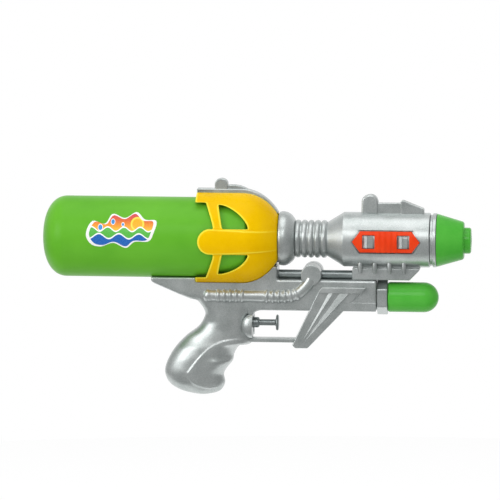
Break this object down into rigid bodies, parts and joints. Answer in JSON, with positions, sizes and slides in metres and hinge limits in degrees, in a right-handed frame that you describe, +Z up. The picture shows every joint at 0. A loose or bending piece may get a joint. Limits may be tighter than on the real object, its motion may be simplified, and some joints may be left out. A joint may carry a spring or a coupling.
{
  "type": "water squirter",
  "caption": "Hand-held pump-action water squirter with a bottle tank behind, a caged cover, a ribbed barrel, a nozzle, a pistol grip, a push trigger and a sliding pump handle.",
  "frame": {"origin": "middle of the hand grip, on the parting plane of the body halves", "axes": "+X along the barrel to the muzzle, +Y to the left side of the holder, +Z up, square to the barrel"},
  "size_m": [0.3422, 0.0756, 0.1735],
  "materials": {
    "silver_body": "silver metallic moulded plastic, satin",
    "green_plastic": "glossy lime green plastic",
    "yellow_plastic": "glossy yellow plastic",
    "orange_plastic": "glossy orange-red plastic",
    "white_plastic": "natural white plastic, as moulded",
    "clear_hose": "milky soft hose",
    "black_rubber": "soft black rubber",
    "steel": "zinc plated steel"
  },
  "bodies": {
    "squirter_body": {"frame_shell_right": "silver_body", "frame_shell_left": "silver_body", "barrel_shell_right": "silver_body", "barrel_shell_left": "silver_body", "tank_cover_right": "yellow_plastic", "tank_cover_left": "yellow_plastic", "barrel_panel_right": "orange_plastic", "barrel_panel_left": "orange_plastic", "muzzle_ring": "silver_body", "nozzle_cone": "green_plastic", "nozzle_jet": "white_plastic", "brace_rod": "silver_body", "pump_cylinder": "white_plastic", "pump_collar_nut": "silver_body", "check_valve_body": "white_plastic", "check_valve_flap": "black_rubber", "tank_socket": "white_plastic", "pickup_tube": "clear_hose", "valve_body": "white_plastic", "trigger_bush": "silver_body", "trigger_spring": "steel", "supply_hose": "clear_hose", "air_hose": "clear_hose", "jet_hose": "clear_hose", "case_screw_1": "steel", "case_screw_2": "steel", "case_screw_3": "steel", "case_screw_4": "steel", "case_screw_5": "steel", "case_screw_6": "steel", "case_screw_7": "steel", "case_screw_8": "steel", "case_screw_9": "steel"},
    "trigger_unit": {"trigger": "silver_body", "valve_seal": "black_rubber"},
    "pump_unit": {"pump_handle": "green_plastic", "pump_rod": "white_plastic", "pump_piston": "white_plastic", "piston_ring": "black_rubber"},
    "gasket_unit": {"tank_gasket": "black_rubber"},
    "tank_unit": {"tank": "green_plastic"}
  },
  "joints": [
    {"name": "trigger_press", "type": "slide", "parent": "squirter_body", "child": "trigger_unit", "axis": [-1, 0, 0], "range_m": [0, 0.007], "stiffness_N_per_m": 250, "springref_m": -0.004, "deforming": ["trigger_spring"]},
    {"name": "pump_slide", "type": "slide", "parent": "squirter_body", "child": "pump_unit", "axis": [1, 0, 0], "range_m": [0, 0.058]},
    {"name": "tank_shift", "type": "slide", "parent": "squirter_body", "child": "gasket_unit", "axis": [-1, 0, 0], "range_m": [0, 0.0081]},
    {"name": "tank_turn", "type": "hinge", "parent": "gasket_unit", "child": "tank_unit", "pos_m": [0, 0, 0.09], "axis": [-1, 0, 0], "range_deg": [0, 720]}
  ],
  "couplings": [
    {"joint": "tank_shift", "follows": "tank_turn", "m_per_rad": 0.00063662}
  ]
}
